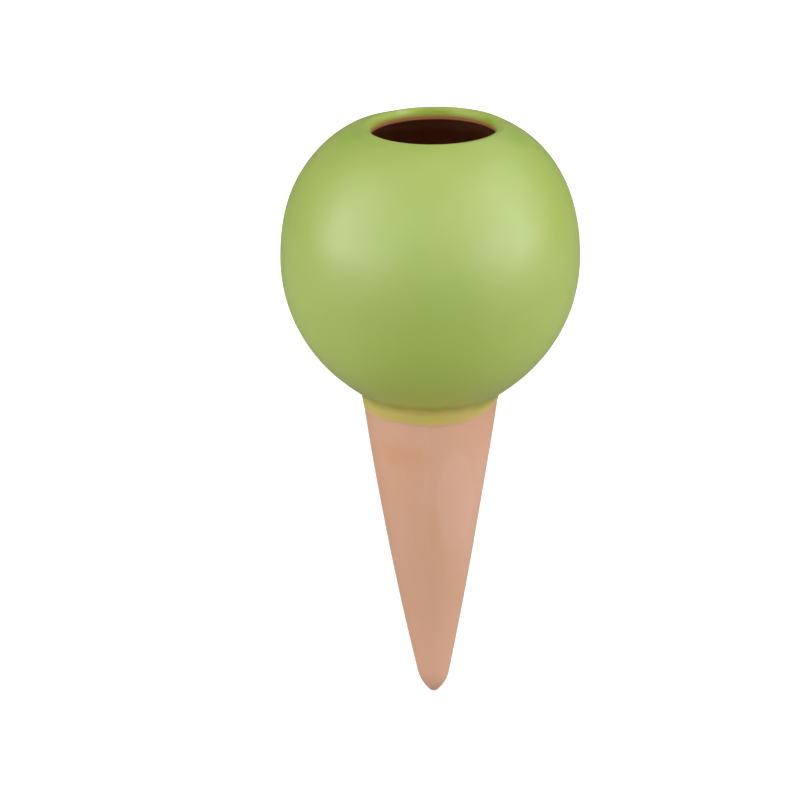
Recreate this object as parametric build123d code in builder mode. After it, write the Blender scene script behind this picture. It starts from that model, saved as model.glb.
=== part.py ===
from build123d import *
import os
from math import cos, radians, sin, sqrt

# A self watering spike: a hollow glazed clay ball on a hollow, bare and porous clay cone.
# Water is poured into the ball's open mouth and seeps out through the cone's wall.
# The axis of turning is Z. The origin is on it, at the level of the crease between ball and cone,
# which is where the soil ends once the cone is pushed in. Lengths are in millimetres, angles in degrees.

# Outer form, measured on the finished faces
ball_diameter = 90.0
belly_height = 41.6
belly_to_lip = 40.5
crease_radius = 20.75
spike_length = 97.9
spike_tip_radius = 2.15
tip_nose_angle = 46.4
tip_flank_angle = 12.0
tip_bend_share = 5.34

# Mouth, measured on the glaze
neck_diameter = 37.8
lip_radius = 2.1
shoulder_slope = 25.5

# Fullness of the ball's curves: how far each keeps the direction that it has at its ends.
# Its line would end on the axis a little deeper than an ellipse through belly and crease does.
floor_run_share = 0.479
belly_fall_share = 0.583
underside_depth_share = 1.0124
belly_rise_share = 0.765
shoulder_run_share = 0.18

# Walls, as cast
ball_wall = 3.7
spike_wall = 4.2
tip_floor = 8.0
cavity_tip_radius = 1.2
neck_edge_radius = 0.4
throat_edge_radius = 1.5

# Slip that joins the two castings, and how far the cone's line is drawn on into the ball to meet it
seam_thickness = 0.8
crease_fillet_radius = 2.0
root_share = 0.04

# Glaze: the coat on the ball, its film inside the neck and its film on the cone
ball_coat = 0.35
neck_film = 0.15
neck_film_length = 0.25
margin_film = 0.15
margin_length = 5.3
margin_edge_radius = 0.1

# Values worked out from the ones above
ball_radius = ball_diameter / 2
neck_radius = neck_diameter / 2
lip_crown_radius = neck_radius + lip_radius
bare_neck_radius = neck_radius + neck_film
slope = radians(shoulder_slope)
ellipse_depth = belly_height / sqrt(1 - (crease_radius / ball_radius) ** 2)
underside_depth = underside_depth_share * ellipse_depth
lip_top = belly_height + belly_to_lip
lip_centre_height = lip_top - lip_radius
glaze_end_height = lip_centre_height - neck_film_length
throat_radius = crease_radius - margin_film - spike_wall
cavity_inset = ball_coat + ball_wall


def draw_globe(inset):
    """Draw the ball's line from its lowest point up to the lip, inset from the finished face."""
    belly = ball_radius - inset
    shrink = belly / ball_radius
    lip_x = neck_radius + lip_radius * (1 + sin(slope)) - inset * sin(slope)
    lip_z = lip_centre_height + (lip_radius - inset) * cos(slope)
    rise = belly_rise_share * belly_to_lip * shrink
    run = shoulder_run_share * (ball_radius - lip_crown_radius) * shrink
    drop = underside_depth - inset
    underside = Bezier(
        (0, belly_height - drop),
        (floor_run_share * belly, belly_height - drop),
        (belly, belly_height - belly_fall_share * drop),
        (belly, belly_height),
    )
    shoulder = Bezier(
        underside @ 1,
        (belly, belly_height + rise),
        (lip_x + run * cos(slope), lip_z - run * sin(slope)),
        (lip_x, lip_z),
    )
    return underside, shoulder


def draw_flank(tip_height, tip_radius, top_radius):
    """Draw a cone's line: a small nose, a wider bend and a bowed flank to just above the crease."""
    nose = CenterArc((0, tip_height + tip_radius), tip_radius, -90, 90 - tip_nose_angle)
    bend = JernArc(nose @ 1, nose % 1, tip_bend_share * tip_radius, tip_nose_angle - tip_flank_angle)
    guide = TangentArc(bend @ 1, (top_radius, 0), tangent=bend % 1, mode=Mode.PRIVATE)
    flank = ThreePointArc(bend @ 1, guide @ 0.5, guide @ (1 + root_share))
    return nose, flank


def fill_body(coat, film, bore_radius):
    """Fill the section of ball and cone as solids: the ball coat, the cone's top film, inside the glaze."""
    with BuildLine() as globe:
        underside, shoulder = draw_globe(coat)
        roll_radius = ((shoulder @ 1).X - bore_radius) / (1 + sin(slope))
        roll = JernArc(shoulder @ 1, shoulder % 1, roll_radius, 90 + shoulder_slope)
        Polyline(roll @ 1, (bore_radius, glaze_end_height), (0, glaze_end_height), underside @ 0)
    make_face(globe.edges())
    with BuildLine() as cone:
        nose, flank = draw_flank(-spike_length, spike_tip_radius, crease_radius - film)
        Polyline(flank @ 1, (0, (flank @ 1).Y), nose @ 0)
    make_face(cone.edges())


def corner_near(radius, height):
    """Find the corner of the section that lies nearest to a place."""
    return vertices().sort_by_distance((radius, height))[0]


def keep_band(low, high, inner=0.0, outer=ball_diameter):
    """Keep what lies between two heights and two radii of the section."""
    with Locations(((inner + outer) / 2, (low + high) / 2)):
        Rectangle(outer - inner, high - low, mode=Mode.INTERSECT)


def write_piece(piece, label):
    """Name a finished piece and write it."""
    piece.part.label = label
    export_step(piece.part, f"parts/{label}.step")


# The space inside: the ball, the cone and the throat between them, open at the mouth.
# The neck's foot and the throat's rim are rounded, as slip leaves them.
with BuildSketch(Plane.XZ) as water_space:
    with BuildLine():
        space_floor, space_roof = draw_globe(cavity_inset)
        neck_run = ((space_roof @ 1).X - bare_neck_radius) / cos(slope)
        neck_foot = space_roof @ 1 + (space_roof % 1) * neck_run
        Polyline(space_roof @ 1, neck_foot, (bare_neck_radius, lip_top), (0, lip_top), space_floor @ 0)
    make_face()
    with BuildLine():
        cone_floor, cone_face = draw_flank(tip_floor - spike_length, cavity_tip_radius, throat_radius)
        Polyline(cone_face @ 1, (0, (cone_face @ 1).Y), cone_floor @ 0)
    make_face()
    fillet(corner_near(bare_neck_radius, neck_foot.Y), neck_edge_radius)
    fillet(corner_near(throat_radius, ball_wall), throat_edge_radius)

# Ball and cone as solids: in bare clay, and with the glaze on
with BuildSketch(Plane.XZ) as clay_body:
    fill_body(ball_coat, margin_film, bare_neck_radius)
    fillet(corner_near(crease_radius, ball_coat), crease_fillet_radius)
with BuildSketch(Plane.XZ) as glazed_body:
    fill_body(0, 0, neck_radius)
    fillet(corner_near(crease_radius, 0), crease_fillet_radius)

os.makedirs("parts", exist_ok=True)

# Cast clay ball: the reservoir, with its lip, its short straight neck and its seat for the seam
with BuildPart() as reservoir_ball:
    with BuildSketch(Plane.XZ) as ball_section:
        fill_body(ball_coat, margin_film, bare_neck_radius)
        add(water_space, mode=Mode.SUBTRACT)
        keep_band(seam_thickness / 2, lip_top)
    revolve(axis=Axis.Z)
write_piece(reservoir_ball, "reservoir_ball")

# Cast clay cone: bare and porous, with an even wall that thickens into a round tip
with BuildPart() as spike_cone:
    with BuildSketch(Plane.XZ) as cone_section:
        fill_body(ball_coat, margin_film, bare_neck_radius)
        add(water_space, mode=Mode.SUBTRACT)
        keep_band(-spike_length, -seam_thickness / 2)
    revolve(axis=Axis.Z)
write_piece(spike_cone, "spike_cone")

# Slip: the thin ring between the two castings, squeezed out into the bead that rounds the crease
with BuildPart() as slip_seam:
    with BuildSketch(Plane.XZ) as seam_section:
        add(clay_body)
        add(water_space, mode=Mode.SUBTRACT)
        add(ball_section, mode=Mode.SUBTRACT)
        add(cone_section, mode=Mode.SUBTRACT)
        keep_band(-spike_wall, spike_wall)
    revolve(axis=Axis.Z)
write_piece(slip_seam, "slip_seam")

# Green glaze: the even coat over the ball and over the crown of the lip
with BuildPart() as ball_glaze:
    with BuildSketch(Plane.XZ):
        add(glazed_body)
        add(clay_body, mode=Mode.SUBTRACT)
        keep_band(0, lip_top)
        with Locations((0, lip_top)):
            Rectangle(2 * lip_crown_radius, 2 * belly_to_lip, mode=Mode.SUBTRACT)
    revolve(axis=Axis.Z)
write_piece(ball_glaze, "ball_glaze")

# The same glaze inside the lip's crown, where it thins as it rolls down into the neck
with BuildPart() as neck_glaze:
    with BuildSketch(Plane.XZ):
        add(glazed_body)
        add(clay_body, mode=Mode.SUBTRACT)
        keep_band(belly_height, lip_top, outer=lip_crown_radius)
    revolve(axis=Axis.Z)
write_piece(neck_glaze, "neck_glaze")

# The thin film of glaze that runs past the crease on to the cone
with BuildPart() as glaze_margin:
    with BuildSketch(Plane.XZ):
        add(glazed_body)
        add(clay_body, mode=Mode.SUBTRACT)
        keep_band(-margin_length, 0)
        lowest_corners = vertices().group_by(Axis.Y)[0]
        fillet(lowest_corners.sort_by(Axis.X)[-1], margin_edge_radius)
    revolve(axis=Axis.Z)
write_piece(glaze_margin, "glaze_margin")
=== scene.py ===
"""Looks of a self watering spike: a hollow glazed clay ball on a bare, porous clay cone.

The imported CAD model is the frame. Each clay or glaze piece is turned round the upright axis from a
closed section, as its mould turns it, and then leans and ripples a little, as firing leaves it.
Sections are in millimetres in the row frame, and the meshes are in metres.
"""

import logging
import math
from dataclasses import dataclass, field
from enum import Enum
from typing import Callable

import bmesh
import bpy
import numpy as np
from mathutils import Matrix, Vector, noise

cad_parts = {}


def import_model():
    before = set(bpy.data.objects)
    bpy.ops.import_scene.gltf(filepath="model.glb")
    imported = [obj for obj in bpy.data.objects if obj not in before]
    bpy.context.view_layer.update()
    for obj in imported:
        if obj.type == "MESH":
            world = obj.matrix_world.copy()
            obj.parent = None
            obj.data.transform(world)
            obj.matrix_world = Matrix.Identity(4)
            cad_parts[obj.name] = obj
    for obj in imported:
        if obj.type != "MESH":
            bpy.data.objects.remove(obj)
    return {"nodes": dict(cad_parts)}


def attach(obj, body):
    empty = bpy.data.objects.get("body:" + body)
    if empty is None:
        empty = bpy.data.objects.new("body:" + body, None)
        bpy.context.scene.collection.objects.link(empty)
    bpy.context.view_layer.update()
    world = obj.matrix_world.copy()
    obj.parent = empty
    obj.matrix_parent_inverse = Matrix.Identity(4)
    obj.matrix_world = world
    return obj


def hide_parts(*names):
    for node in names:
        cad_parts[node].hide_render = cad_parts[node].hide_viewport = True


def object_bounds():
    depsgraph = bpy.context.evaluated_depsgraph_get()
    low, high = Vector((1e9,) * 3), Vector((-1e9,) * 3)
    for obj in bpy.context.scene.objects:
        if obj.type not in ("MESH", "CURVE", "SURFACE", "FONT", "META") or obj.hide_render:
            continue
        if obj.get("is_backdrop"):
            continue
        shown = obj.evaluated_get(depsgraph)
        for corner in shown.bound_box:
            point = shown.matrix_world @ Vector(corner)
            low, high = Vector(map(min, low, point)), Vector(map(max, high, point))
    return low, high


LOG = logging.getLogger("watering_spike")
MM = 0.001
FILM_REACH = "film_reach"
ON_AXIS = 1e-6

Line = np.ndarray
Section = Callable[[float], Line]
Colour = tuple[float, float, float]
Triple = tuple[float, float, float]
Span = tuple[float, float]
Socket = bpy.types.NodeSocket


class Slot(Enum):
    """The record's material slots."""

    CAST_CLAY = "cast_clay"
    POROUS_CLAY = "porous_clay"
    SLIP = "slip"
    GREEN_GLAZE = "green_glaze"
    THIN_GLAZE = "thin_glaze"


def smooth_step(value: float, start: float, end: float) -> float:
    """Ease from 0 to 1 between two values.

    Args:
        value: Where to read the ease.
        start: Where it leaves 0.
        end: Where it reaches 1.

    Returns:
        The eased share.
    """
    share = min(max((value - start) / (end - start), 0.0), 1.0)
    return share * share * (3.0 - 2.0 * share)


def pigment(colour: Colour) -> tuple[float, float, float, float]:
    """Turn a display colour of 0 to 255 into the linear colour that a shader socket takes.

    Args:
        colour: Red, green and blue as a screen shows them.

    Returns:
        Linear red, green and blue with full alpha.
    """
    linear = [
        c / 12.92 if c <= 0.04045 else ((c + 0.055) / 1.055) ** 2.4
        for c in (value / 255.0 for value in colour)
    ]
    return (linear[0], linear[1], linear[2], 1.0)


def place_in_scene(name: str, data: bpy.types.ID) -> bpy.types.Object:
    """Put a mesh, light or camera into the scene.

    Args:
        name: The object's name.
        data: What it shows.

    Returns:
        The object.
    """
    made = bpy.data.objects.new(name, data)
    bpy.context.scene.collection.objects.link(made)
    return made


def place_mesh(name: str, shape: bmesh.types.BMesh) -> bpy.types.Object:
    """Close a mesh under construction and put it into the scene.

    Args:
        name: The mesh's and the object's name.
        shape: The mesh under construction, which is freed.

    Returns:
        The object.
    """
    mesh = bpy.data.meshes.new(name)
    shape.to_mesh(mesh)
    shape.free()
    return place_in_scene(name, mesh)


# Lines of a section: arrays of (radius, height) in millimetres


def cubic_line(points: list[Span], steps: int) -> Line:
    """Sample a cubic curve.

    Args:
        points: Its start, two handles and end.
        steps: How many spans to cut it into.

    Returns:
        The points along it.
    """
    t = np.linspace(0.0, 1.0, steps + 1)[:, None]
    a, b, c, d = (np.array(p) for p in points)
    return (1 - t) ** 3 * a + 3 * (1 - t) ** 2 * t * b + 3 * (1 - t) * t**2 * c + t**3 * d


def arc_line(centre: Span, radius: float, start: float, end: float, steps: int) -> Line:
    """Sample an arc.

    Args:
        centre: Its centre.
        radius: Its radius.
        start: Its first angle in degrees, from the radius axis.
        end: Its last angle in degrees.
        steps: How many spans to cut it into.

    Returns:
        The points along it.
    """
    angles = np.radians(np.linspace(start, end, steps + 1))
    return np.stack([centre[0] + radius * np.cos(angles), centre[1] + radius * np.sin(angles)], axis=1)


def cut_line(line: Line, start: float, end: float) -> Line:
    """Keep the part of a line between two lengths along it.

    Args:
        line: The line.
        start: Length where the kept part starts.
        end: Length where it ends, counted back from the line's end if it is negative or zero.

    Returns:
        The kept part, with its two new ends.
    """
    runs = np.hypot(*np.diff(line, axis=0).T)
    along = np.concatenate([[0.0], np.cumsum(runs)])
    stop = end if end > 0 else along[-1] + end
    inner = line[(along > start) & (along < stop)]
    ends = [[np.interp(s, along, line[:, k]) for k in (0, 1)] for s in (start, stop)]
    return np.concatenate([[ends[0]], inner, [ends[1]]])


def ease_corner(first: Line, second: Line, reach: float, steps: int = 8) -> Line:
    """Join two lines that meet in a corner and round it.

    Args:
        first: The line that ends at the corner.
        second: The line that starts there.
        reach: How far from the corner the rounding starts on either line.
        steps: How many spans the rounding has.

    Returns:
        The joined line.
    """
    corner = first[-1]
    before = cut_line(first, 0.0, -reach)
    after = cut_line(second, reach, 0.0)
    t = np.linspace(0.0, 1.0, steps + 1)[1:-1, None]
    bend = (1 - t) ** 2 * before[-1] + 2 * (1 - t) * t * corner + t**2 * after[0]
    return np.concatenate([before, bend, after])


def split_line(line: Line, height: float, keep_above: bool) -> Line:
    """Cut a rising or falling line at a height.

    Args:
        line: A line whose height crosses the cut once.
        height: Height of the cut.
        keep_above: Whether the part above the cut is kept.

    Returns:
        The kept part, which starts or ends exactly at the cut.
    """
    z = line[:, 1]
    kept = line[z > height] if keep_above else line[z < height]
    rising = z[-1] > z[0]
    order = slice(None) if rising else slice(None, None, -1)
    end = np.array([[np.interp(height, z[order], line[order, 0]), height]])
    at_start = rising == keep_above
    return np.concatenate([end, kept] if at_start else [kept, end])


@dataclass(frozen=True)
class Mould:
    """Sizes of the moulds and coats, in millimetres and degrees, and how finely their lines are drawn."""

    ball_diameter: float = 90.0
    belly_height: float = 41.6
    belly_to_lip: float = 40.5
    crease_radius: float = 20.75
    spike_length: float = 97.9
    spike_tip_radius: float = 2.15
    tip_nose_angle: float = 46.4
    tip_flank_angle: float = 12.0
    tip_bend_share: float = 5.34
    neck_diameter: float = 37.8
    lip_radius: float = 2.1
    shoulder_slope: float = 25.5
    floor_run_share: float = 0.479
    belly_fall_share: float = 0.583
    underside_depth_share: float = 1.0124
    belly_rise_share: float = 0.765
    shoulder_run_share: float = 0.18
    root_share: float = 0.06
    ball_wall: float = 3.7
    spike_wall: float = 4.2
    tip_floor: float = 8.0
    cavity_tip_radius: float = 1.2
    neck_edge_reach: float = 0.3
    throat_edge_reach: float = 0.9
    seam_thickness: float = 0.8
    crease_reach: float = 1.0
    ball_coat: float = 0.35
    neck_film: float = 0.15
    neck_film_length: float = 0.25
    margin_film: float = 0.15
    underside_steps: int = 120
    shoulder_steps: int = 90
    flank_steps: int = 150
    nose_steps: int = 12
    bend_steps: int = 14
    roll_steps: int = 20

    @property
    def lip_top(self) -> float:
        """Height of the lip's crown."""
        return self.belly_height + self.belly_to_lip

    @property
    def lip_centre(self) -> float:
        """Height of the centre of the lip's roll."""
        return self.lip_top - self.lip_radius

    @property
    def neck_radius(self) -> float:
        """Radius of the glazed neck."""
        return self.neck_diameter / 2

    @property
    def bare_neck_radius(self) -> float:
        """Radius of the neck below the glaze."""
        return self.neck_radius + self.neck_film

    @property
    def glaze_end(self) -> float:
        """Height where the glaze ends in the neck."""
        return self.lip_centre - self.neck_film_length

    @property
    def underside_depth(self) -> float:
        """How far below the belly the ball's line would end on the axis."""
        crease_share = 2 * self.crease_radius / self.ball_diameter
        ellipse_depth = self.belly_height / math.sqrt(1 - crease_share**2)
        return self.underside_depth_share * ellipse_depth

    def globe(self, inset: float) -> tuple[Line, Line]:
        """Draw the ball's line, inset from the finished face.

        Args:
            inset: How far inside the finished face it lies.

        Returns:
            The underside up to the belly, and the shoulder from there to the lip.
        """
        slope = math.radians(self.shoulder_slope)
        belly = self.ball_diameter / 2 - inset
        shrink = belly / (self.ball_diameter / 2)
        crown_radius = self.neck_radius + self.lip_radius
        lip_x = self.neck_radius + self.lip_radius * (1 + math.sin(slope)) - inset * math.sin(slope)
        lip_z = self.lip_centre + (self.lip_radius - inset) * math.cos(slope)
        rise = self.belly_rise_share * self.belly_to_lip * shrink
        run = self.shoulder_run_share * (self.ball_diameter / 2 - crown_radius) * shrink
        drop = self.underside_depth - inset
        underside = [
            (0.0, self.belly_height - drop),
            (self.floor_run_share * belly, self.belly_height - drop),
            (belly, self.belly_height - self.belly_fall_share * drop),
            (belly, self.belly_height),
        ]
        shoulder = [
            (belly, self.belly_height),
            (belly, self.belly_height + rise),
            (lip_x + run * math.cos(slope), lip_z - run * math.sin(slope)),
            (lip_x, lip_z),
        ]
        return cubic_line(underside, self.underside_steps), cubic_line(shoulder, self.shoulder_steps)

    def flank(self, tip_height: float, tip_radius: float, top_radius: float) -> Line:
        """Draw a cone's line from its round tip to a little above the crease.

        Args:
            tip_height: Height of the tip.
            tip_radius: Radius of its nose.
            top_radius: Radius at the crease's height.

        Returns:
            The line, from the axis upwards.
        """
        lean, steep = math.radians(self.tip_flank_angle), math.radians(self.tip_nose_angle)
        nose_centre = (0.0, tip_height + tip_radius)
        nose = arc_line(nose_centre, tip_radius, -90.0, -self.tip_nose_angle, self.nose_steps)
        nose[0, 0] = 0.0
        bend_radius = self.tip_bend_share * tip_radius
        bend_centre = nose[-1] - bend_radius * np.array([math.cos(steep), -math.sin(steep)])
        bend_turn = (-self.tip_nose_angle, -self.tip_flank_angle)
        bend = arc_line(tuple(bend_centre), bend_radius, *bend_turn, self.bend_steps)
        nose = np.concatenate([nose, bend[1:]])
        foot = nose[-1]
        across = np.array([-math.cos(lean), math.sin(lean)])
        chord = np.array([top_radius, 0.0]) - foot
        bow = chord @ chord / (2 * (chord @ across))
        centre = foot + across * bow
        low, high = (math.degrees(math.atan2(*(p - centre)[::-1])) for p in (foot, foot + chord))
        root = high + (high - low) * self.root_share
        side = arc_line(tuple(centre), abs(bow), low, root, self.flank_steps)
        return np.concatenate([nose[:-1], side])

    def cone_cavity(self) -> Line:
        """Draw the water space's line in the cone, up into the throat."""
        throat_radius = self.crease_radius - self.margin_film - self.spike_wall
        return self.flank(self.tip_floor - self.spike_length, self.cavity_tip_radius, throat_radius)

    def outer_line(self, coat: float, film: float) -> tuple[Line, Line]:
        """Draw the outside of ball and cone under a coat.

        Args:
            coat: Thickness of the coat on the ball that is left out.
            film: Thickness of the film on the cone that is left out.

        Returns:
            The line from the tip up to the belly with its crease rounded, and the shoulder.
        """
        underside, shoulder = self.globe(coat)
        flank = self.flank(-self.spike_length, self.spike_tip_radius, self.crease_radius - film)
        flank_radius = np.interp(underside[:, 1], flank[:, 1], flank[:, 0])
        outside = (underside[:, 0] > flank_radius) & (underside[:, 1] < self.belly_height / 2)
        first = int(np.argmax(outside))
        gaps = underside[first - 1 : first + 1, 0] - flank_radius[first - 1 : first + 1]
        share = -gaps[0] / (gaps[1] - gaps[0])
        corner = underside[first - 1] + share * (underside[first] - underside[first - 1])
        lower = np.concatenate([flank[flank[:, 1] < corner[1]], [corner]])
        upper = np.concatenate([[corner], underside[first:]])
        return ease_corner(lower, upper, self.crease_reach), shoulder

    def lip_roll(self, shoulder: Line, bore: float) -> Line:
        """Draw the lip's roll from the shoulder's end to the bore.

        Args:
            shoulder: The shoulder that it follows.
            bore: Radius of the neck that it ends on.

        Returns:
            The roll, without its first point.
        """
        slope = math.radians(self.shoulder_slope)
        radius = (shoulder[-1, 0] - bore) / (1 + math.sin(slope))
        centre = (bore + radius, shoulder[-1, 1] - radius * math.cos(slope))
        return arc_line(centre, radius, 90.0 - self.shoulder_slope, 180.0, self.roll_steps)[1:]


@dataclass(frozen=True)
class Firing:
    """How far the fired piece departs from its true form, in millimetres and degrees.

    A span gives the two heights, or radii for the mouth's ring, between which a move fades in.
    """

    tip_shift: float = 1.4
    tip_shift_curve: float = 1.6
    shoulder_shift: float = 0.42
    shoulder_from: float = 54.0
    shoulder_rise: float = 0.45
    shoulder_rise_span: Span = (66.0, 81.0)
    mouth_shift: float = 0.5
    mouth_tilt: float = 0.7
    mouth_lift: float = 0.08
    mouth_depth: float = 0.02
    mouth_width: float = -0.008
    mouth_ring: Span = (25.5, 21.5)
    mouth_span: Span = (66.0, 76.0)
    waist_flare: float = 0.18
    waist_shift: float = 0.1
    waist_below: Span = (-45.0, -3.0)
    waist_above: Span = (4.0, 0.0)
    crease_flare: float = 0.15
    crease_below: Span = (-4.0, 0.0)
    crease_above: Span = (5.0, 1.0)
    calm_at_seam: Span = (1.0, 9.0)
    calm_at_axis: float = 1.0
    ball_ripple: float = 0.09
    ball_ripple_size: float = 26.0
    cone_ripple: float = 0.06
    cone_ripple_width: float = 13.0
    cone_ripple_length: float = 55.0
    cone_ripple_start: float = 7.0

    def settle(self, point: Vector, mould: Mould) -> Vector:
        """Move a point as the firing moved the clay there.

        Args:
            point: Where the true form has it.
            mould: The sizes of the true form.

        Returns:
            Where the fired piece has it.
        """
        down = max(-point.z, 0.0) / mould.spike_length
        radius = math.hypot(point.x, point.y)
        mouth = smooth_step(radius, *self.mouth_ring) * smooth_step(point.z, *self.mouth_span)
        shift = self.tip_shift * down**self.tip_shift_curve + self.mouth_shift * mouth
        shift += self.shoulder_shift * smooth_step(point.z, self.shoulder_from, mould.lip_top)
        beyond = 1.0 - smooth_step(radius, *self.mouth_ring)
        rise = self.shoulder_rise * beyond * smooth_step(point.z, *self.shoulder_rise_span)
        rise += mouth * (self.mouth_lift + math.tan(math.radians(self.mouth_tilt)) * point.x)
        stretch = Vector((self.mouth_width * point.x, self.mouth_depth * point.y, 0.0)) * mouth
        waist = smooth_step(point.z, *self.waist_below) * smooth_step(point.z, *self.waist_above)
        crease = smooth_step(point.z, *self.crease_below) * smooth_step(point.z, *self.crease_above)
        shift += self.waist_shift * waist
        flare = self.waist_flare * waist + self.crease_flare * crease
        swell = self._ripple(point) * smooth_step(abs(point.z), *self.calm_at_seam)
        away = Vector((point.x, point.y, 0.0))
        if away.length > self.calm_at_axis:
            away.normalize()
        return point + away * (swell + flare) + stretch + Vector((shift, 0.0, rise))

    def _ripple(self, point: Vector) -> float:
        """Give how far the wall swells out at a point, in round patches above and streaks below."""
        if point.z > 0:
            return self.ball_ripple * noise.noise(point / self.ball_ripple_size)
        across = self.cone_ripple_width
        height = point.z / self.cone_ripple_length + self.cone_ripple_start
        return self.cone_ripple * noise.noise(Vector((point.x / across, point.y / across, height)))


@dataclass
class TurnedPiece:
    """One piece turned round the upright axis from a closed section, which may change with the angle."""

    name: str
    section: Line | Section
    mould: Mould
    firing: Firing
    steps: int = 288
    sharp_turn: float = 35.0

    def build(self) -> bpy.types.Object:
        """Sweep the section and fire the result.

        Returns:
            The closed mesh as an object of the scene.
        """
        angles = np.linspace(0.0, 2 * math.pi, self.steps, endpoint=False)
        sections = [self.section(float(a)) if callable(self.section) else self.section for a in angles]
        shape = bmesh.new()
        rings: list[list[bmesh.types.BMVert]] = []
        for i in range(len(sections[0])):
            turns = angles[:1] if sections[0][i][0] < ON_AXIS else angles
            ring = []
            for k, a in enumerate(turns):
                r, z = sections[k][i]
                point = Vector((r * math.sin(a), -r * math.cos(a), z))
                ring.append(shape.verts.new(self.firing.settle(point, self.mould) * MM))
            rings.append(ring)
        for i, ring in enumerate(rings):
            self._skin(shape, ring, rings[(i + 1) % len(rings)])
        bmesh.ops.recalc_face_normals(shape, faces=shape.faces)
        for face in shape.faces:
            face.smooth = True
        for edge in shape.edges:
            edge.smooth = edge.calc_face_angle(0.0) < math.radians(self.sharp_turn)
        return place_mesh(self.name, shape)

    @staticmethod
    def _skin(
        shape: bmesh.types.BMesh, low: list[bmesh.types.BMVert], high: list[bmesh.types.BMVert]
    ) -> None:
        """Close the strip between two rings, either of which may be a single point on the axis.

        Args:
            shape: The mesh being made.
            low: One ring.
            high: The next ring.
        """
        count = max(len(low), len(high))
        if count == 1:
            return
        for k in range(count):
            n = (k + 1) % count
            if len(low) == 1:
                shape.faces.new((low[0], high[n], high[k]))
            elif len(high) == 1:
                shape.faces.new((low[k], low[n], high[0]))
            else:
                shape.faces.new((low[k], low[n], high[n], high[k]))


# Shaders


class Bench:
    """Puts nodes into one tree and wires them."""

    def __init__(self, tree: bpy.types.NodeTree) -> None:
        """Take the tree to work on."""
        self.tree = tree

    def put(self, kind: str, **values: object) -> bpy.types.Node:
        """Add a node and set or wire its values.

        Args:
            kind: The node's type name.
            **values: Socket names with underscores for spaces, or the node's own settings.

        Returns:
            The node.
        """
        node = self.tree.nodes.new(kind)
        for key, value in values.items():
            if hasattr(node, key):
                setattr(node, key, value)
        for key, value in values.items():
            if not hasattr(node, key):
                self.feed(node, key.replace("_", " "), value)
        return node

    def feed(self, node: bpy.types.Node, socket: str | int, value: object) -> None:
        """Set or wire one input.

        Args:
            node: The node that takes it.
            socket: The input's name or number.
            value: A value, or an output socket to wire.
        """
        target = node.inputs[socket]
        if isinstance(value, Socket):
            self.tree.links.new(value, target)
        else:
            target.default_value = value

    def place(self) -> Socket:
        """Give the place on the object that is being shaded."""
        return self.put("ShaderNodeTexCoord").outputs["Object"]

    def sum(self, operation: str, *terms: object) -> Socket:
        """Work out a value from others.

        Args:
            operation: The Math node's operation.
            *terms: Values or sockets.

        Returns:
            The result's socket.
        """
        node = self.put("ShaderNodeMath", operation=operation)
        for i, term in enumerate(terms):
            self.feed(node, i, term)
        return node.outputs[0]

    def vector(self, operation: str, *terms: object) -> Socket:
        """Work out a vector, or its length, from others.

        Args:
            operation: The Vector Math node's operation.
            *terms: Vectors or sockets.

        Returns:
            The result's socket.
        """
        node = self.put("ShaderNodeVectorMath", operation=operation)
        for i, term in enumerate(terms):
            self.feed(node, i, term)
        return node.outputs["Value" if operation == "LENGTH" else "Vector"]

    def tint(self, share: object, under: object, over: object) -> Socket:
        """Lay one colour over another.

        Args:
            share: How much of the upper colour shows.
            under: The lower colour, as a display colour or a socket.
            over: The upper colour.

        Returns:
            The mixed colour's socket.
        """
        node = self.put("ShaderNodeMix", data_type="RGBA", clamp_factor=True)
        self.feed(node, 0, share)
        for i, colour in ((6, under), (7, over)):
            self.feed(node, i, colour if isinstance(colour, Socket) else pigment(colour))
        return node.outputs[2]

    def ramp(self, value: object, start: object, end: object) -> Socket:
        """Ease a value from 0 to 1 between two others.

        Args:
            value: The value.
            start: Where the ease starts.
            end: Where it ends.

        Returns:
            The eased share's socket.
        """
        node = self.put("ShaderNodeMapRange", interpolation_type="SMOOTHSTEP")
        for i, term in enumerate((value, start, end)):
            self.feed(node, i, term)
        return node.outputs[0]

    def effect(self, group: bpy.types.NodeTree, **values: object) -> bpy.types.Node:
        """Place a shared effect.

        Args:
            group: The effect's node group.
            **values: Its inputs by name, with underscores for spaces.

        Returns:
            The group's node.
        """
        node = self.put("ShaderNodeGroup")
        node.node_tree = group
        for key, value in values.items():
            self.feed(node, key.replace("_", " "), value)
        return node

    def seen_or_lit(self, seen: bpy.types.Node, lit: bpy.types.Node) -> Socket:
        """Show one shader to the camera and light the piece from another.

        Args:
            seen: The shader that the camera sees.
            lit: The shader that everything else sees.

        Returns:
            The mixed shader's socket.
        """
        mixed = self.put("ShaderNodeMixShader")
        self.feed(mixed, 0, self.put("ShaderNodeLightPath").outputs["Is Camera Ray"])
        self.feed(mixed, 1, lit.outputs[0])
        self.feed(mixed, 2, seen.outputs[0])
        return mixed.outputs[0]


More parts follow.
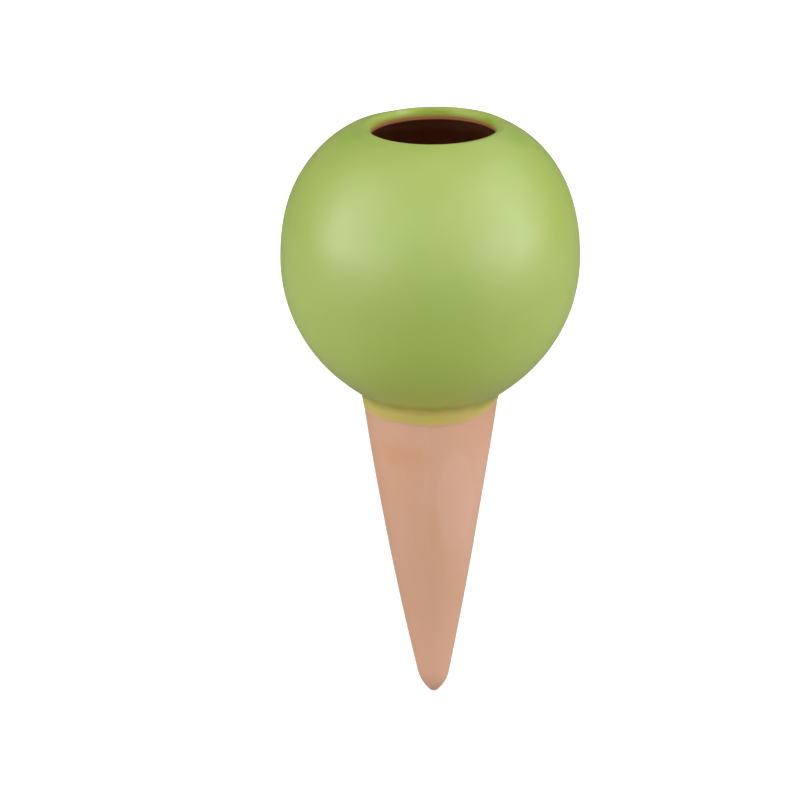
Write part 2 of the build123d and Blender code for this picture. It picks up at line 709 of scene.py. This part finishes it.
@dataclass
class SharedEffects:
    """The effects that several finishes use, each built once as a node group.

    The cloud details say how finely the noise in each effect breaks up, and cloud_middle is the value
    that this noise wavers round. Specks stand apart by the grain's size over speck_density.
    """

    mottling: bpy.types.NodeTree = field(init=False)
    height_fade: bpy.types.NodeTree = field(init=False)
    spot: bpy.types.NodeTree = field(init=False)
    grain: bpy.types.NodeTree = field(init=False)
    fade_cloud_scale: float = 160.0
    fade_cloud_detail: float = 2.0
    spot_cloud_scale: float = 220.0
    spot_cloud_detail: float = 3.0
    cloud_middle: float = 0.5
    speck_density: float = 0.45

    def __post_init__(self) -> None:
        """Build the groups."""
        self.mottling = self._make_mottling()
        self.height_fade = self._make_height_fade()
        self.spot = self._make_spot()
        self.grain = self._make_grain()

    @staticmethod
    def _open(name: str, inputs: dict[str, float | Triple], outputs: tuple[str, ...]) -> tuple:
        """Start a group.

        Args:
            name: The group's name.
            inputs: The default of each input, by name.
            outputs: Names of the outputs, which are all values.

        Returns:
            The group, a bench for it, its input node and its output node.
        """
        group = bpy.data.node_groups.new(name, "ShaderNodeTree")
        for label, default in inputs.items():
            kind = "NodeSocketVector" if isinstance(default, tuple) else "NodeSocketFloat"
            group.interface.new_socket(label, in_out="INPUT", socket_type=kind).default_value = default
        for label in outputs:
            group.interface.new_socket(label, in_out="OUTPUT", socket_type="NodeSocketFloat")
        bench = Bench(group)
        return group, bench, bench.put("NodeGroupInput").outputs, bench.put("NodeGroupOutput")

    def _waver(self, bench: Bench, base: Socket, amount: Socket, scale: float, detail: float) -> Socket:
        """Let a value waver over the surface.

        Args:
            bench: The group's bench.
            base: The value.
            amount: How far it wavers.
            scale: How closely the noise changes, per metre.
            detail: How finely it breaks up.

        Returns:
            The wavering value's socket.
        """
        cloud = bench.put("ShaderNodeTexNoise", Scale=scale, Detail=detail, Vector=bench.place())
        centred = bench.sum("SUBTRACT", cloud.outputs[0], self.cloud_middle)
        return bench.sum("MULTIPLY_ADD", centred, amount, base)

    def _make_mottling(self) -> bpy.types.NodeTree:
        """Build soft uneven patches, which Stretch can draw out into upright streaks.

        Returns:
            The group.
        """
        inputs = {"Patch Size": 0.01, "Stretch": 1.0, "Offset": 0.0, "Low": 0.4, "High": 0.7}
        group, bench, given, made = self._open("mottling", inputs, ("Mask",))
        wide = bench.sum("DIVIDE", 1.0, given["Patch Size"])
        high = bench.sum("DIVIDE", wide, given["Stretch"])
        fit = bench.put("ShaderNodeCombineXYZ", X=wide, Y=wide, Z=high)
        sized = bench.vector("MULTIPLY", bench.place(), fit.outputs[0])
        moved = bench.vector("ADD", sized, given["Offset"])
        cloud = bench.put("ShaderNodeTexNoise", Scale=1.0, Detail=3.0, Roughness=0.5, Vector=moved)
        bench.feed(made, 0, bench.ramp(cloud.outputs[0], given["Low"], given["High"]))
        return group

    def _make_height_fade(self) -> bpy.types.NodeTree:
        """Build a fade from 0 to 1 between two heights.

        Returns:
            The group.
        """
        inputs = {"From": 0.0, "To": 0.01, "Waver": 0.0}
        group, bench, given, made = self._open("height_fade", inputs, ("Mask",))
        height = bench.put("ShaderNodeSeparateXYZ", Vector=bench.place()).outputs["Z"]
        waved = self._waver(bench, height, given["Waver"], self.fade_cloud_scale, self.fade_cloud_detail)
        bench.feed(made, 0, bench.ramp(waved, given["From"], given["To"]))
        return group

    def _make_spot(self) -> bpy.types.NodeTree:
        """Build one soft spot round a place.

        Returns:
            The group.
        """
        inputs = {"Centre": (0.0, 0.0, 0.0), "Reach": (0.01, 0.01, 0.01), "Core": 0.5, "Waver": 0.15}
        group, bench, given, made = self._open("spot", inputs, ("Mask",))
        away = bench.vector("SUBTRACT", bench.place(), given["Centre"])
        far = bench.vector("LENGTH", bench.vector("DIVIDE", away, given["Reach"]))
        waved = self._waver(bench, far, given["Waver"], self.spot_cloud_scale, self.spot_cloud_detail)
        bench.feed(made, 0, bench.ramp(waved, 1.0, given["Core"]))
        return group

    def _make_grain(self) -> bpy.types.NodeTree:
        """Build the fine relief and the specks of a fired surface.

        Returns:
            The group.
        """
        inputs = {"Grain Size": 0.001, "Speck Share": 0.1}
        group, bench, given, made = self._open("grain", inputs, ("Height", "Specks"))
        place = bench.place()
        scale = bench.sum("DIVIDE", 1.0, given["Grain Size"])
        fine = bench.put("ShaderNodeTexNoise", Detail=4.0, Roughness=0.6, Vector=place, Scale=scale)
        speck_scale = bench.sum("MULTIPLY", scale, self.speck_density)
        cells = bench.put("ShaderNodeTexVoronoi", feature="F1", Vector=place, Scale=speck_scale)
        bench.feed(made, 0, fine.outputs[0])
        bench.feed(made, 1, bench.ramp(cells.outputs["Distance"], given["Speck Share"], 0.0))
        return group


# Masks: where a colour shows, in millimetres


@dataclass(frozen=True)
class Mottling:
    """Soft uneven patches, drawn out into streaks by a stretch."""

    patch_size: float
    stretch: float = 1.0
    offset: float = 0.0
    low: float = 0.4
    high: float = 0.7
    share: float = 1.0

    def put(self, bench: Bench, effects: SharedEffects) -> Socket:
        """Put the mask on a material's bench and give its socket."""
        values = {"Stretch": self.stretch, "Offset": self.offset, "Low": self.low, "High": self.high}
        made = bench.effect(effects.mottling, Patch_Size=self.patch_size * MM, **values)
        return bench.sum("MULTIPLY", made.outputs[0], self.share)


@dataclass(frozen=True)
class HeightFade:
    """A fade from 0 to 1 between two heights, whose edge wavers."""

    start: float
    end: float
    waver: float

    def put(self, bench: Bench, effects: SharedEffects) -> Socket:
        """Put the mask on a material's bench and give its socket."""
        heights = {"From": self.start * MM, "To": self.end * MM}
        return bench.effect(effects.height_fade, **heights, Waver=self.waver * MM).outputs[0]


@dataclass(frozen=True)
class Spot:
    """A soft patch that the kiln or a hand left."""

    centre: Triple
    reach: Triple
    share: float
    core: float = 0.3
    waver: float = 0.35

    def put(self, bench: Bench, effects: SharedEffects) -> Socket:
        """Put the mask on a material's bench and give its socket."""
        centre, reach = (tuple(c * MM for c in corner) for corner in (self.centre, self.reach))
        made = bench.effect(effects.spot, Centre=centre, Reach=reach, Core=self.core, Waver=self.waver)
        return bench.sum("MULTIPLY", made.outputs[0], self.share)


@dataclass(frozen=True)
class FilmEdge:
    """A fade between two shares of the film's length on the cone."""

    start: float
    end: float
    share: float = 1.0

    def put(self, bench: Bench, _effects: SharedEffects) -> Socket:
        """Put the mask on a material's bench and give its socket."""
        reach = bench.put("ShaderNodeAttribute", attribute_name=FILM_REACH).outputs["Fac"]
        return bench.sum("MULTIPLY", bench.ramp(reach, self.start, self.end), self.share)


@dataclass(frozen=True)
class Layer:
    """A colour that lies over the ones before it where its mask lets it show."""

    name: str
    colour: Colour
    mask: Mottling | HeightFade | Spot | FilmEdge


# Finishes


@dataclass(frozen=True)
class Finish:
    """What every fired finish has. Grain sizes are in millimetres."""

    name: str
    roughness: float
    sheen: float
    grain_size: float
    grain_depth: float
    body: Colour
    layers: tuple[Layer, ...]
    unevenness: float = 0.08
    uneven_patches: Mottling = Mottling(6.0, offset=11.0, low=0.3, high=0.7)

    def start(self) -> tuple[bpy.types.Material, Bench, bpy.types.Node]:
        """Open the material.

        Returns:
            The material, a bench for its tree and its surface shader.
        """
        material = bpy.data.materials.new(self.name)
        material.use_nodes = True
        surface = material.node_tree.nodes["Principled BSDF"]
        surface.inputs["Specular IOR Level"].default_value = self.sheen
        return material, Bench(material.node_tree), surface

    def roughen(self, bench: Bench, surface: bpy.types.Node, effects: SharedEffects) -> bpy.types.Node:
        """Give the surface its grain, and its uneven roughness.

        Args:
            bench: The material's bench.
            surface: The surface shader.
            effects: The shared effects.

        Returns:
            The grain effect's node.
        """
        grain = bench.effect(effects.grain, Grain_Size=self.grain_size * MM)
        depth = self.grain_depth * MM
        bump = bench.put("ShaderNodeBump", Strength=1.0, Distance=depth, Height=grain.outputs["Height"])
        bench.feed(surface, "Normal", bump.outputs[0])
        patches = self.uneven_patches.put(bench, effects)
        smoothest = self.roughness - self.unevenness / 2
        bench.feed(surface, "Roughness", bench.sum("MULTIPLY_ADD", patches, self.unevenness, smoothest))
        return grain

    def blend(self, bench: Bench, effects: SharedEffects) -> Socket:
        """Lay the finish's layers over its body colour.

        Args:
            bench: The material's bench.
            effects: The shared effects.

        Returns:
            The finished colour's socket.
        """
        colour: Colour | Socket = self.body
        for layer in self.layers:
            colour = bench.tint(layer.mask.put(bench, effects), colour, layer.colour)
            colour.node.label = layer.name
        return colour

    def make(self, effects: SharedEffects) -> bpy.types.Material:
        """Build the material.

        Args:
            effects: The shared effects.

        Returns:
            The material.
        """
        material, bench, surface = self.start()
        self.roughen(bench, surface, effects)
        bench.feed(surface, "Base Color", self.blend(bench, effects))
        return material


@dataclass(frozen=True)
class Glaze(Finish):
    """A glaze whose colour is lightened where it turns away, as painted light at its edges."""

    painted_edge_light: float = 0.1
    edge_span: Span = (0.05, 0.75)
    edge_blend: float = 0.5

    def paint(self, bench: Bench, surface: bpy.types.Node, colour: Socket) -> None:
        """Give the surface its colour, lightened towards its edges as painted light.

        Args:
            bench: The material's bench.
            surface: The surface shader.
            colour: The colour seen straight on.
        """
        # painted light: the colour is made lighter where the surface turns away
        facing = bench.put("ShaderNodeLayerWeight", Blend=self.edge_blend).outputs["Facing"]
        gain = bench.sum("MULTIPLY_ADD", bench.ramp(facing, *self.edge_span), self.painted_edge_light, 1.0)
        scaled = bench.put("ShaderNodeVectorMath", operation="SCALE", Scale=gain)
        bench.feed(scaled, 0, colour)
        bench.feed(surface, "Base Color", scaled.outputs[0])


@dataclass(frozen=True)
class GreenGlaze(Glaze):
    """Satin lime green glaze, more olive towards the foot of the ball and thin inside the neck.

    The rings are radii in millimetres between which the thin and the dulled glaze fade in.
    """

    name: str = "satin_green_glaze"
    roughness: float = 0.38
    sheen: float = 0.95
    grain_size: float = 0.9
    grain_depth: float = 0.008
    body: Colour = (156, 174, 81)
    layers: tuple[Layer, ...] = (
        Layer("cool patches", (151, 174, 78), Mottling(28.0, low=0.35, high=0.65)),
        # lighter and greener towards the lower half of the ball
        Layer("lighter lower half", (161, 183, 75), HeightFade(42.0, 16.0, 6.0)),
        Layer("olive foot", (171, 181, 74), HeightFade(22.0, -2.0, 4.0)),
        # painted shade: darker olive brown at the foot of the ball, in the crease
        Layer("painted crease shade", (172, 166, 72), HeightFade(3.0, -0.2, 1.2)),
        Layer("smear", (140, 166, 88), Spot((21.5, -38.0, 31.5), (2.6, 3.0, 0.8), 0.35)),
        # painted shade: deeper, more saturated green beside the mouth, where the glaze catches less sheen
        Layer("painted shade left of mouth", (138, 172, 58), Spot((-22.5, -6.0, 79.0), (8.0, 10.0, 5.0), 0.85, core=0.0)),
        Layer("painted shade right of mouth", (136, 170, 58), Spot((24.0, -6.0, 79.0), (8.0, 10.0, 5.0), 0.85, core=0.0)),
        # painted highlight: a whitish streak on the rear lip
        Layer("painted lip highlight", (196, 204, 150), Spot((-9.5, 18.5, 81.4), (4.5, 2.5, 0.9), 0.5, waver=0.9)),
        # painted shade: darker olive and green on the rear lip, where it shows no sheen
        Layer("painted lip shade", (126, 150, 48), Spot((1.0, 19.5, 80.8), (8.0, 3.0, 1.8), 0.85, waver=0.6)),
        Layer("painted right lip shade", (138, 162, 46), Spot((18.0, 9.5, 80.6), (5.0, 5.0, 2.0), 0.85, waver=0.6)),
    )
    thin: Colour = (154, 152, 60)
    thin_ring: Span = (21.2, 19.2)
    thin_fade: HeightFade = HeightFade(81.5, 79.8, 0.8)
    dull_ring: Span = (22.5, 19.5)
    dull_share: float = 0.8

    def make(self, effects: SharedEffects) -> bpy.types.Material:
        """Build the material.

        Args:
            effects: The shared effects.

        Returns:
            The material.
        """
        material, bench, surface = self.start()
        self.roughen(bench, surface, effects)
        radius = bench.vector("LENGTH", bench.vector("MULTIPLY", bench.place(), (1.0, 1.0, 0.0)))
        inside = bench.ramp(radius, *(r * MM for r in self.thin_ring))
        thinned = bench.sum("MULTIPLY", inside, self.thin_fade.put(bench, effects))
        self.paint(bench, surface, bench.tint(thinned, self.blend(bench, effects), self.thin))
        inner = bench.ramp(radius, *(r * MM for r in self.dull_ring))
        sheen = bench.sum("MULTIPLY_ADD", inner, -self.sheen * self.dull_share, self.sheen)
        bench.feed(surface, "Specular IOR Level", sheen)
        return material


@dataclass(frozen=True)
class ThinGlaze(Glaze):
    """The film of glaze past the crease, through which the clay shows yellow."""

    name: str = "thin_yellow_glaze"
    roughness: float = 0.5
    sheen: float = 0.5
    grain_size: float = 0.8
    grain_depth: float = 0.015
    # painted light: the film's colour is lightened at its edges
    painted_edge_light: float = 0.08
    body: Colour = (189, 175, 86)
    layers: tuple[Layer, ...] = (
        Layer("olive top", (160, 157, 68), HeightFade(-2.6, -0.7, 0.8)),
        Layer("worn patches", (206, 170, 102), Mottling(7.0, stretch=0.5, offset=3.0, share=0.35)),
        Layer("orange fringe", (206, 170, 102), FilmEdge(0.7, 0.92, 0.4)),
        Layer("bare edge", (206, 160, 131), FilmEdge(0.76, 0.99)),
    )

    def make(self, effects: SharedEffects) -> bpy.types.Material:
        """Build the material.

        Args:
            effects: The shared effects.

        Returns:
            The material.
        """
        material, bench, surface = self.start()
        self.roughen(bench, surface, effects)
        self.paint(bench, surface, self.blend(bench, effects))
        return material


@dataclass(frozen=True)
class BareTerracotta(Finish):
    """Matte porous clay with redder and paler patches, smears and specks, and painted light towards the
    tip.
    """

    name: str = "bare_terracotta"
    roughness: float = 0.88
    sheen: float = 0.2
    grain_size: float = 0.55
    grain_depth: float = 0.045
    body: Colour = (212, 166, 139)
    layers: tuple[Layer, ...] = (
        Layer("warm patches", (213, 164, 134), Mottling(16.0, stretch=1.6, offset=5.0)),
        Layer("pale streaks", (215, 170, 144), Mottling(5.0, 7.0, 2.0, low=0.5, high=0.75, share=0.5)),
        # painted light: the cone grows paler towards its downward-facing tip
        Layer("painted light towards tip", (228, 178, 150), HeightFade(-55.0, -98.0, 4.0)),
        Layer("pale side", (217, 172, 149), Spot((16.5, -6.0, -45.0), (12.0, 16.0, 38.0), 0.7, 0.5, 0.3)),
        Layer("pale arch", (217, 172, 149), Spot((7.8, -14.0, -31.0), (6.6, 16.0, 19.0), 0.7, 0.75, 0.2)),
        Layer("red patch", (213, 158, 123), Spot((-8.5, -15.5, -15.8), (14.0, 12.0, 7.5), 0.75, 0.0, 0.8)),
        # painted light: a paler spot on the tip's end, which faces the floor
        Layer("painted light at tip end", (248, 203, 174), Spot((1.4, -1.0, -99.0), (7.0, 7.0, 9.0), 0.85, 0.0, 0.1)),
        Layer("upper shadow", (214, 167, 140), Spot((9.5, -14.0, -24.0), (3.2, 4.0, 3.4), 0.35, core=0.0)),
        Layer("lower shadow", (214, 167, 136), Spot((-1.0, -14.0, -38.5), (8.0, 8.0, 6.0), 0.45, 0.0, 0.8)),
    )
    speck: Colour = (190, 142, 112)
    speck_share: float = 0.35

    def make(self, effects: SharedEffects) -> bpy.types.Material:
        """Build the material.

        Args:
            effects: The shared effects.

        Returns:
            The material.
        """
        material, bench, surface = self.start()
        grain = self.roughen(bench, surface, effects)
        specks = bench.sum("MULTIPLY", grain.outputs["Specks"], self.speck_share)
        bench.feed(surface, "Base Color", bench.tint(specks, self.blend(bench, effects), self.speck))
        return material


@dataclass(frozen=True)
class CastClay(Finish):
    """Unglazed clay inside the mouth: orange at the neck's edge and, as painted shade, dark brown further
    in.
    """

    name: str = "cast_clay_inside"
    roughness: float = 0.9
    sheen: float = 0.2
    grain_size: float = 0.8
    grain_depth: float = 0.05
    body: Colour = (177, 115, 79)
    layers: tuple[Layer, ...] = (
        Layer("patches", (176, 112, 76), Mottling(12.0, offset=9.0, share=0.3)),
        # painted shade: darker further down inside the ball
        Layer("painted shade inside", (146, 80, 46), HeightFade(76.5, 71.5, 2.0)),
        Layer("neck's edge", (176, 112, 76), HeightFade(77.6, 79.0, 0.6)),
    )


# Sub-assemblies


@dataclass
class GlazedBall:
    """The clay ball with its green coat."""

    mould: Mould
    firing: Firing
    effects: SharedEffects
    glaze: GreenGlaze
    clay: CastClay
    coat_steps: int = 360

    def _face(self, coat: float, film: float, bore: float) -> Line:
        """Draw one face of the coat from the crease's height to the glaze's end in the neck.

        Args:
            coat: How far the face lies inside the finished one on the ball.
            film: How far it lies inside it on the cone.
            bore: Its radius in the neck.

        Returns:
            The line, from the crease upwards.
        """
        low, shoulder = self.mould.outer_line(coat, film)
        low = split_line(low, 0.0, keep_above=True)
        end = np.array([[bore, self.mould.glaze_end]])
        return np.concatenate([low, shoulder[1:], self.mould.lip_roll(shoulder, bore), end])

    def _bare_face(self) -> Line:
        """Draw the clay's face under the coat."""
        m = self.mould
        return self._face(m.ball_coat, m.margin_film, m.bare_neck_radius)

    def coat_section(self) -> Line:
        """Draw the coat between the finished face and the clay, from the crease to the neck."""
        outer = self._face(0.0, 0.0, self.mould.neck_radius)
        return np.concatenate([outer, self._bare_face()[::-1]])

    def clay_section(self) -> Line:
        """Draw the clay between the coat and the water space.

        Returns:
            The closed section.
        """
        m = self.mould
        face = self._bare_face()
        body = split_line(face[face[:, 1] < m.belly_height], m.seam_thickness / 2, keep_above=True)
        body = np.concatenate([body, face[np.argmax(face[:, 1] >= m.belly_height) :]])
        floor, roof = m.globe(m.ball_coat + m.ball_wall)
        foot_rise = (roof[-1, 0] - m.bare_neck_radius) * math.tan(math.radians(m.shoulder_slope))
        foot = [m.bare_neck_radius, roof[-1, 1] + foot_rise]
        neck = np.array([[m.bare_neck_radius, m.glaze_end], foot])
        ceiling = np.concatenate([[foot], roof[::-1]])
        mouth = ease_corner(neck, ceiling, m.neck_edge_reach)
        throat = split_line(m.cone_cavity(), m.seam_thickness / 2, keep_above=True)
        radius_there = np.interp(floor[:, 1], throat[:, 1], throat[:, 0])
        first = int(np.argmax(floor[:, 0] > radius_there))
        rising = np.concatenate([throat[throat[:, 1] < floor[first, 1]], [floor[first]]])
        well = ease_corner(floor[first:][::-1], rising[::-1], m.throat_edge_reach)
        return np.concatenate([body, mouth[1:], well[1:]])

    def build(self) -> list[bpy.types.Object]:
        """Build and dress the coat and the clay.

        Returns:
            The pieces.
        """
        section = self.coat_section()
        coat = TurnedPiece("green_coat", section, self.mould, self.firing, steps=self.coat_steps).build()
        coat.data.materials.append(self.glaze.make(self.effects))
        clay = TurnedPiece("ball_clay", self.clay_section(), self.mould, self.firing).build()
        clay.data.materials.append(self.clay.make(self.effects))
        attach(coat, "root")
        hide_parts("ball_glaze", "neck_glaze")
        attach(clay, "root")
        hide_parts("reservoir_ball")
        return [coat, clay]


@dataclass
class PorousSpike:
    """The bare cone, the seam above it and the film of glaze that runs on to it.

    The film's lengths are in millimetres. The turns, in degrees from the front towards the right, give
    where it grows short and long again, and each wave of its edge has a height, a count and a start.
    """

    mould: Mould
    firing: Firing
    effects: SharedEffects
    terracotta: BareTerracotta
    film: ThinGlaze
    longest: float = 5.75
    shortest: float = 2.85
    short_from: Span = (18.0, 74.0)
    long_from: Span = (96.0, 150.0)
    waves: tuple[tuple[float, int, float], ...] = ((0.16, 3, 0.6), (0.12, 7, 2.0), (0.06, 15, 0.0))
    edge_fall: int = 6
    film_points: int = 40
    film_crowding: float = 1.6
    cone_steps: int = 256
    film_steps: int = 360

    def margin_length(self, angle: float) -> float:
        """Give how far the film runs down the cone.

        Args:
            angle: Turn about the axis from the front, towards the right.

        Returns:
            The length in millimetres.
        """
        turn = math.degrees(math.atan2(math.sin(angle), math.cos(angle)))
        short = smooth_step(turn, *self.short_from) * (1.0 - smooth_step(turn, *self.long_from))
        wave = sum(height * math.sin(count * angle + start) for height, count, start in self.waves)
        return self.longest - (self.longest - self.shortest) * short + wave

    def film_shares(self) -> Line:
        """Give the shares of the film's length where its section has points, closer towards its edge."""
        return 1.0 - (1.0 - np.linspace(0.0, 1.0, self.film_points)) ** self.film_crowding

    def margin_section(self, angle: float) -> Line:
        """Draw the film from the crease's height to its thin lower edge.

        Args:
            angle: Turn about the axis, where the film's length is read.

        Returns:
            The closed section.
        """
        share = self.film_shares()
        z = -share * self.margin_length(angle)
        clay = np.interp(z, self._bare[:, 1], self._bare[:, 0])
        glazed = np.interp(z, self._glazed[:, 1], self._glazed[:, 0])
        thick = (glazed - clay) * np.sqrt(1.0 - share**self.edge_fall)
        outer = np.stack([clay + thick, z], axis=1)
        inner = np.stack([clay, z], axis=1)
        return np.concatenate([outer, inner[-2::-1]])

    def cone_section(self) -> Line:
        """Draw the cone's wall below the seam."""
        seam_low = -self.mould.seam_thickness / 2
        below_belly = self._bare[self._bare[:, 1] < self.mould.belly_height / 2]
        outer = split_line(below_belly, seam_low, keep_above=False)
        inner = split_line(self.mould.cone_cavity(), seam_low, keep_above=False)
        return np.concatenate([outer[::-1], inner])

    def build(self, seam: bpy.types.Object) -> list[bpy.types.Object]:
        """Build and dress the cone and the film, and dress the seam.

        Args:
            seam: The CAD node of the seam, which keeps its own shape.

        Returns:
            The pieces.
        """
        m = self.mould
        self._bare = m.outer_line(m.ball_coat, m.margin_film)[0]
        self._glazed = m.outer_line(0.0, 0.0)[0]
        terracotta = self.terracotta.make(self.effects)
        cone = TurnedPiece("cone_clay", self.cone_section(), m, self.firing, steps=self.cone_steps).build()
        cone.data.materials.append(terracotta)
        turned = TurnedPiece("margin_film", self.margin_section, m, self.firing, steps=self.film_steps)
        film = turned.build()
        down = self.film_shares()
        reach = film.data.attributes.new(FILM_REACH, "FLOAT", "POINT")
        reach.data.foreach_set("value", np.repeat(np.concatenate([down, down[-2::-1]]), self.film_steps))
        film.data.materials.append(self.film.make(self.effects))
        for slot in seam.material_slots:
            slot.material = terracotta
        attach(cone, "root")
        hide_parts("spike_cone")
        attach(film, "root")
        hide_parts("glaze_margin")
        return [cone, film, seam]


@dataclass(frozen=True)
class Softbox:
    """A rectangular studio light that faces the piece, in metres and degrees."""

    name: str
    turn: float
    rise: float
    distance: float
    width: float
    height: float
    radiance: float

    def build(self, aim: Vector) -> bpy.types.Object:
        """Hang the light.

        Args:
            aim: The point that it faces, and that its turn and rise are seen from.

        Returns:
            The light's object.
        """
        turn, rise = math.radians(self.turn), math.radians(self.rise)
        level = self.distance * math.cos(rise)
        away = Vector((level * math.sin(turn), -level * math.cos(turn), self.distance * math.sin(rise)))
        lamp = bpy.data.lights.new(self.name, "AREA")
        lamp.shape = "RECTANGLE"
        lamp.size = self.width
        lamp.size_y = self.height
        lamp.energy = math.pi * self.radiance * self.width * self.height
        made = place_in_scene(self.name, lamp)
        made.location = aim + away
        made.rotation_mode = "QUATERNION"
        made.rotation_quaternion = (-away).to_track_quat("-Z", "Y")
        made.visible_camera = False
        return made


@dataclass
class Studio:
    """Floor, lights and camera, in metres and degrees.

    The camera sees a floor that glows up to white except in a painted shadow at the tip, and the piece is
    lit by a greyer one, darker in front than at the sides, where side_share is the sideways part of the way
    out.
    """

    floor_height: float
    effects: SharedEffects
    aim_height: float = 0.02
    camera_place: Triple = (-0.00906, -1.4852, 0.48736)
    camera_fall: float = 18.3
    camera_clip: Span = (0.05, 30.0)
    lens: float = 232.5
    sensor_width: float = 36.0
    floor_width: float = 9.0
    floor_cells: int = 8
    floor_tone: Colour = (152, 149, 151)
    front_bounce: Colour = (142, 142, 142)
    side_bounce: Colour = (190, 190, 190)
    side_share: Span = (0.2, 0.85)
    near_glow: float = 0.87
    far_glow: float = 0.5
    far_span: Span = (0.0045, 1.1)
    shade_place: Span = (0.0014, 0.0073)
    shade_reach: Triple = (0.0023, 0.0122, 0.01)
    room_light: float = 0.185
    boxes: tuple[Softbox, ...] = (
        Softbox("right_wash", 65.0, 31.0, 1.0, 1.74, 1.4, 0.85),
        Softbox("right_column", 72.0, 28.0, 1.0, 0.7, 1.2, 0.9),
        Softbox("right_key", 68.0, 19.5, 1.0, 0.77, 0.87, 0.5),
        Softbox("right_strip", 55.0, 8.0, 1.0, 1.2, 0.425, 0.9),
        Softbox("left_wash", -65.0, 31.0, 1.0, 1.74, 1.4, 0.55),
        Softbox("left_column", -74.0, 28.0, 1.0, 0.7, 1.2, 0.9),
        Softbox("left_key", -60.0, 19.5, 1.0, 1.1, 0.87, 0.65),
        Softbox("left_strip", -55.0, 8.0, 1.0, 1.2, 0.425, 0.95),
        Softbox("front_fill", 0.0, 22.0, 1.0, 0.89, 1.0, 0.75),
        Softbox("back_fill", 125.0, 50.0, 1.0, 0.8, 0.6, 0.5),
        Softbox("top", 0.0, 85.0, 1.2, 0.8, 0.8, 0.67),
    )

    def build(self) -> None:
        """Set up the whole studio."""
        self._floor()
        for box in self.boxes:
            box.build(Vector((0.0, 0.0, self.aim_height)))
        self._room()
        self._camera()

    def _floor(self) -> None:
        """Lay the pale floor under the tip."""
        shape = bmesh.new()
        cells = {"x_segments": self.floor_cells, "y_segments": self.floor_cells}
        bmesh.ops.create_grid(shape, **cells, size=self.floor_width / 2)
        bmesh.ops.translate(shape, verts=shape.verts, vec=(0.0, 0.0, self.floor_height))
        floor = place_mesh("studio_floor", shape)
        floor.data.materials.append(self._floor_finish())
        floor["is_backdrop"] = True

    def _floor_finish(self) -> bpy.types.Material:
        """Make the floor's material.

        Returns:
            The material.
        """
        material = bpy.data.materials.new("pale_floor")
        material.use_nodes = True
        material.node_tree.nodes.clear()
        bench = Bench(material.node_tree)
        place = bench.place()
        far = bench.vector("LENGTH", place)
        across = bench.put("ShaderNodeSeparateXYZ", Vector=place).outputs["X"]
        aside = bench.sum("DIVIDE", bench.sum("ABSOLUTE", across), far)
        spread = bench.tint(bench.ramp(aside, *self.side_share), self.front_bounce, self.side_bounce)
        # painted shadow: the floor's glow is held back in a spot round and behind the tip
        centre = (*self.shade_place, self.floor_height)
        shade = bench.effect(self.effects.spot, Centre=centre, Reach=self.shade_reach, Core=0.0, Waver=0.0)
        near = bench.sum("MULTIPLY", bench.sum("SUBTRACT", 1.0, shade.outputs[0]), self.near_glow)
        glow = bench.sum("MULTIPLY_ADD", bench.ramp(far, *self.far_span), self.far_glow, near)
        bright = bench.put("ShaderNodeAddShader")
        bench.feed(bright, 0, bench.put("ShaderNodeBsdfDiffuse", Color=pigment(self.floor_tone)).outputs[0])
        bench.feed(bright, 1, bench.put("ShaderNodeEmission", Color=glow, Strength=1.0).outputs[0])
        bounce = bench.put("ShaderNodeBsdfDiffuse", Color=spread)
        bench.put("ShaderNodeOutputMaterial", Surface=bench.seen_or_lit(bright, bounce))
        return material

    def _room(self) -> None:
        """Make the backdrop white and the rest of the room pale grey."""
        world = bpy.data.worlds.new("studio_room")
        world.use_nodes = True
        world.node_tree.nodes.clear()
        bench = Bench(world.node_tree)
        white = (1.0, 1.0, 1.0, 1.0)
        backdrop = bench.put("ShaderNodeBackground", Strength=1.0, Color=white)
        room = bench.put("ShaderNodeBackground", Strength=self.room_light, Color=white)
        bench.put("ShaderNodeOutputWorld", Surface=bench.seen_or_lit(backdrop, room))
        bpy.context.scene.world = world

    def _camera(self) -> None:
        """Set up the camera at the photograph's viewing angle."""
        lens = bpy.data.cameras.new("photo_camera")
        lens.lens = self.lens
        lens.sensor_width = self.sensor_width
        lens.clip_start, lens.clip_end = self.camera_clip
        camera = place_in_scene("photo_camera", lens)
        camera.location = self.camera_place
        camera.rotation_euler = (math.radians(90.0 - self.camera_fall), 0.0, 0.0)
        bpy.context.scene.camera = camera


def main() -> None:
    """Load the frame, build each sub-assembly and set up the studio."""
    logging.basicConfig(level=logging.INFO, format="%(name)s: %(message)s")
    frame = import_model()
    cad_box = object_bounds()
    bpy.context.scene.view_settings.view_transform = "Standard"
    mould, firing, effects = Mould(), Firing(), SharedEffects()
    ball = GlazedBall(mould, firing, effects, GreenGlaze(), CastClay())
    spike = PorousSpike(mould, firing, effects, BareTerracotta(), ThinGlaze())
    made = ball.build() + spike.build(frame["nodes"]["slip_seam"])
    for piece in made:
        LOG.info("built %s: %d faces", piece.name, len(piece.data.polygons))
    Studio(floor_height=cad_box[0].z, effects=effects).build()


if __name__ == "__main__":
    main()
